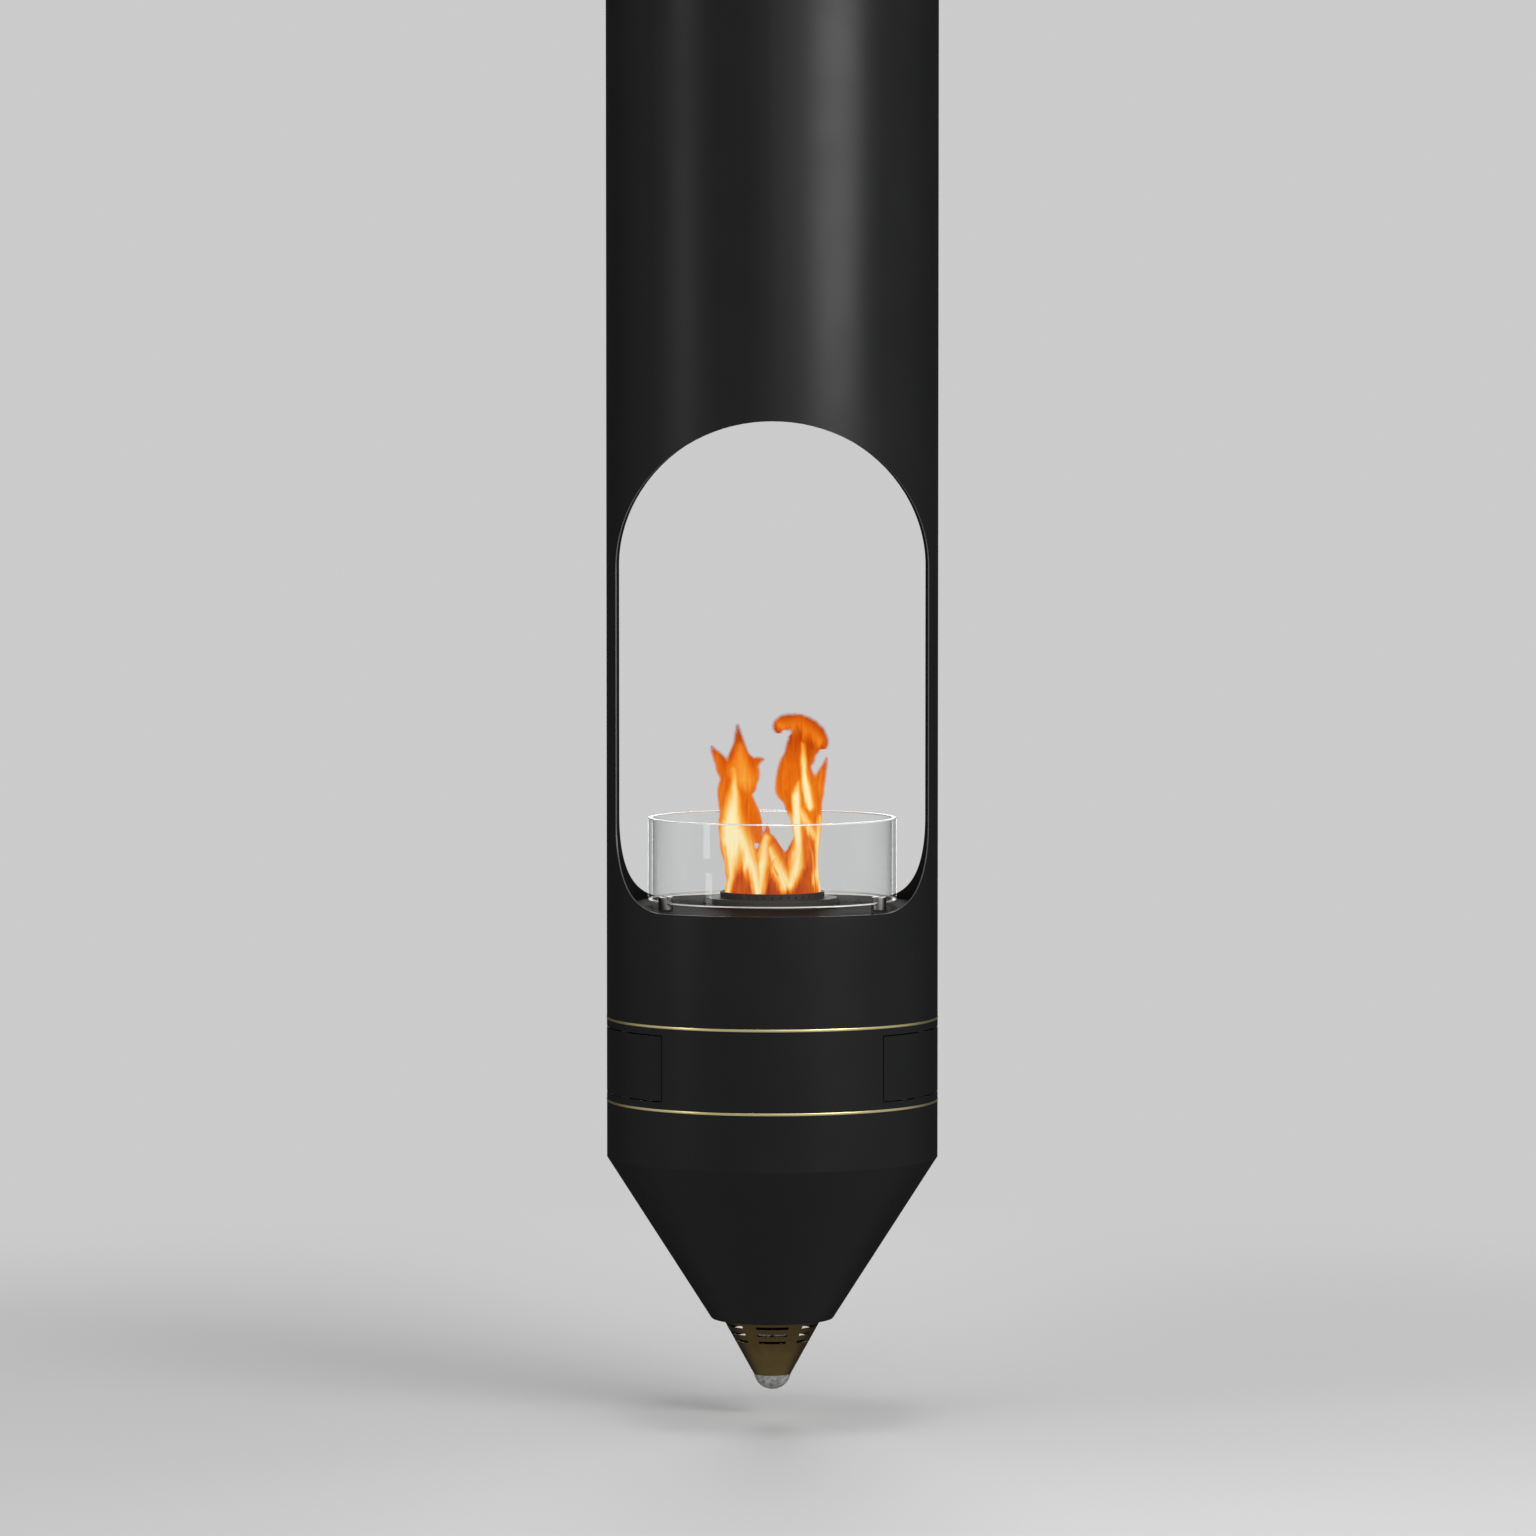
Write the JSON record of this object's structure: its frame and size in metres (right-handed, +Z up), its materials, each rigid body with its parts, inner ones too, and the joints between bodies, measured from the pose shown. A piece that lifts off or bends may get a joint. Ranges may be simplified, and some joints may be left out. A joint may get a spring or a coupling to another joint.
{
  "type": "bioethanol fireplace",
  "caption": "Ceiling-hung black steel tube with an arched see-through fire opening, glass-ringed ethanol burner, hatch band between brass rings, and a cone with a small lamp.",
  "frame": {"origin": "centre of the ceiling plate's upper face, where the fireplace is bolted to the ceiling", "axes": "+Z up along the tube's axis, into the ceiling; the front, with one of the two fire openings, faces -Y; the hatches face +X and -X"},
  "size_m": [0.406, 0.406, 2.3665],
  "materials": {
    "black_coat": "fine-grained satin black powder coat",
    "black_plastic": "matte moulded plastic",
    "black_screws": "black oxide",
    "brass_ring": "polished pale brass",
    "brass_tip": "brushed antique brass",
    "ceramic_fibre": "pressed ceramic fibre",
    "clear_glass": "clear heat-proof glass",
    "dark_ceramic": "bare dark grey ceramic",
    "dark_steel": "heat-darkened steel",
    "flame": null,
    "frosted_glass": "frosted glass",
    "grey_plastic": "matte moulded plastic",
    "heat_sink": "black anodised",
    "rubber": "black rubber",
    "stainless": "brushed stainless steel",
    "white_board": "white solder mask",
    "white_plastic": "matte moulded plastic",
    "zinc_steel": "zinc-plated steel"
  },
  "bodies": {
    "frame": {"baffle_brackets": "black_coat", "battery_pack": "grey_plastic", "burner_crown": "dark_steel", "burner_disc": "dark_steel", "burner_screen": "dark_steel", "burner_tray": "dark_steel", "ceiling_collar": "black_coat", "ceiling_plate": "black_coat", "ceramic_wick": "ceramic_fibre", "charge_socket": "black_plastic", "chassis_rods": "zinc_steel", "cone_base": "black_coat", "cone_shell": "black_coat", "control_box": "black_plastic", "control_panel": "black_coat", "dome_lens": "frosted_glass", "extension_tube": "black_coat", "filler_neck": "stainless", "fire_tube": "black_coat", "flame_sensor": "stainless", "floor_plate": "black_coat", "fuel_pipes": "stainless", "fuel_pump": "grey_plastic", "fuel_tank": "stainless", "glass_pads": "rubber", "glass_posts": "stainless", "hatch_band": "black_coat", "heat_baffle": "black_coat", "hex_nuts": "zinc_steel", "hinge_pins": "zinc_steel", "igniter": "dark_ceramic", "insulation_disc": "ceramic_fibre", "joint_bolts": "zinc_steel", "lamp_cable": "rubber", "lamp_housing": "brass_tip", "latch_bodies": "black_plastic", "led_board": "white_board", "led_heatsink": "heat_sink", "level_stem": "stainless", "lower_brass_ring": "brass_ring", "lower_bulkhead": "black_coat", "lower_shell": "black_coat", "pan_screws": "zinc_steel", "partition_plates": "zinc_steel", "plate_ledge": "black_coat", "shell_flanges": "black_coat", "tank_straps": "zinc_steel", "tube_coupler": "black_coat", "tube_screws": "black_screws", "upper_brass_ring": "brass_ring", "upper_bulkhead": "black_coat"},
    "right_hatch": {"right_hatch": "black_coat"},
    "left_hatch": {"left_hatch": "black_coat"},
    "right_latch": {"right_latch_plunger": "black_plastic"},
    "left_latch": {"left_latch_plunger": "black_plastic"},
    "glass": {"glass_cylinder": "clear_glass"},
    "filler_cap": {"filler_cap": "black_plastic"},
    "power_switch": {"power_switch": "black_plastic"},
    "start_button": {"start_button": "white_plastic"},
    "level_float": {"level_float": "white_plastic"}
  },
  "joints": [
    {"name": "right_hatch_hinge", "type": "hinge", "parent": "frame", "child": "right_hatch", "pos_m": [0.13841, 0.13594, -1.96325], "axis": [0, 0, 1], "range_deg": [0, 95]},
    {"name": "left_hatch_hinge", "type": "hinge", "parent": "frame", "child": "left_hatch", "pos_m": [-0.13841, 0.13594, -1.96325], "axis": [0, 0, -1], "range_deg": [0, 95]},
    {"name": "right_latch_push", "type": "slide", "parent": "frame", "child": "right_latch", "axis": [0.766, -0.6428, 0], "range_m": [-0.003, 0], "stiffness_N_per_m": 300},
    {"name": "left_latch_push", "type": "slide", "parent": "frame", "child": "left_latch", "axis": [-0.766, -0.6428, 0], "range_m": [-0.003, 0], "stiffness_N_per_m": 300},
    {"name": "glass_lift", "type": "slide", "parent": "frame", "child": "glass", "axis": [0, 0, 1], "range_m": [0, 0.12]},
    {"name": "filler_cap_turn", "type": "hinge", "parent": "frame", "child": "filler_cap", "pos_m": [-0.11752, 0, -1.9489], "axis": [-0.7071, 0, 0.7071], "range_deg": [0, 90]},
    {"name": "power_switch_tip", "type": "hinge", "parent": "frame", "child": "power_switch", "pos_m": [0.124, -0.03, -1.9735], "axis": [0, -1, 0], "range_deg": [0, 10]},
    {"name": "start_button_press", "type": "slide", "parent": "frame", "child": "start_button", "axis": [1, 0, 0], "range_m": [-0.002, 0], "stiffness_N_per_m": 400},
    {"name": "level_float_rise", "type": "slide", "parent": "frame", "child": "level_float", "axis": [0, 0, 1], "range_m": [0, 0.045]}
  ]
}
